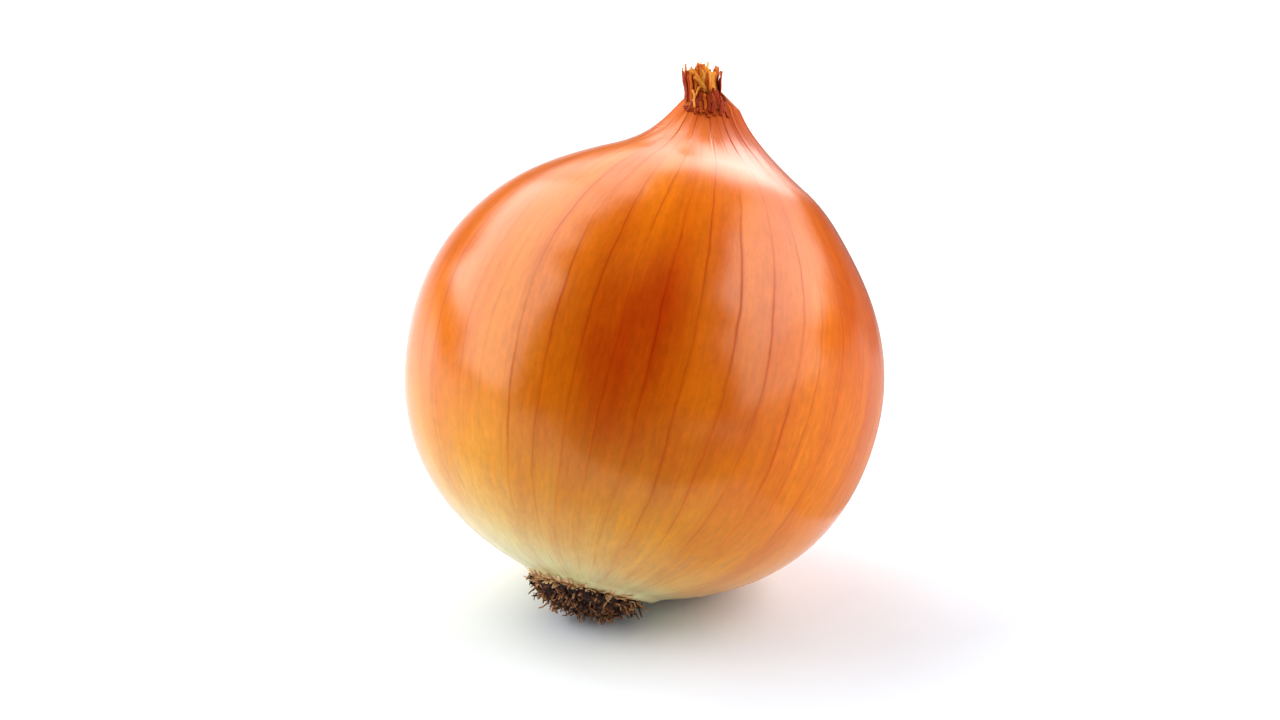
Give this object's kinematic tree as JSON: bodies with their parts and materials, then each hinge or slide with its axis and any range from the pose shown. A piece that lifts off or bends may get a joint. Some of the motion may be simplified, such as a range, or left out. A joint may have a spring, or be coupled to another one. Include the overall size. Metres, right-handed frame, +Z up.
{
  "type": "onion",
  "caption": "Whole brown onion in its dry skin, with a short torn neck and a tuft of dry roots, lying tilted on its flank.",
  "frame": {"origin": "middle of the small flat spot on the lower flank that the onion lies on", "axes": "+Z up from the table, +X to the right and +Y away when the onion is seen from its root side, with its neck leaning right and back"},
  "size_m": [0.0761, 0.0758, 0.082],
  "materials": {
    "skin": "satin",
    "dry_leaf": "matte",
    "dry_root": "matte"
  },
  "bodies": {
    "root": {"bulb": "skin", "neck": "dry_leaf", "roots": "dry_root"}
  },
  "joints": []
}
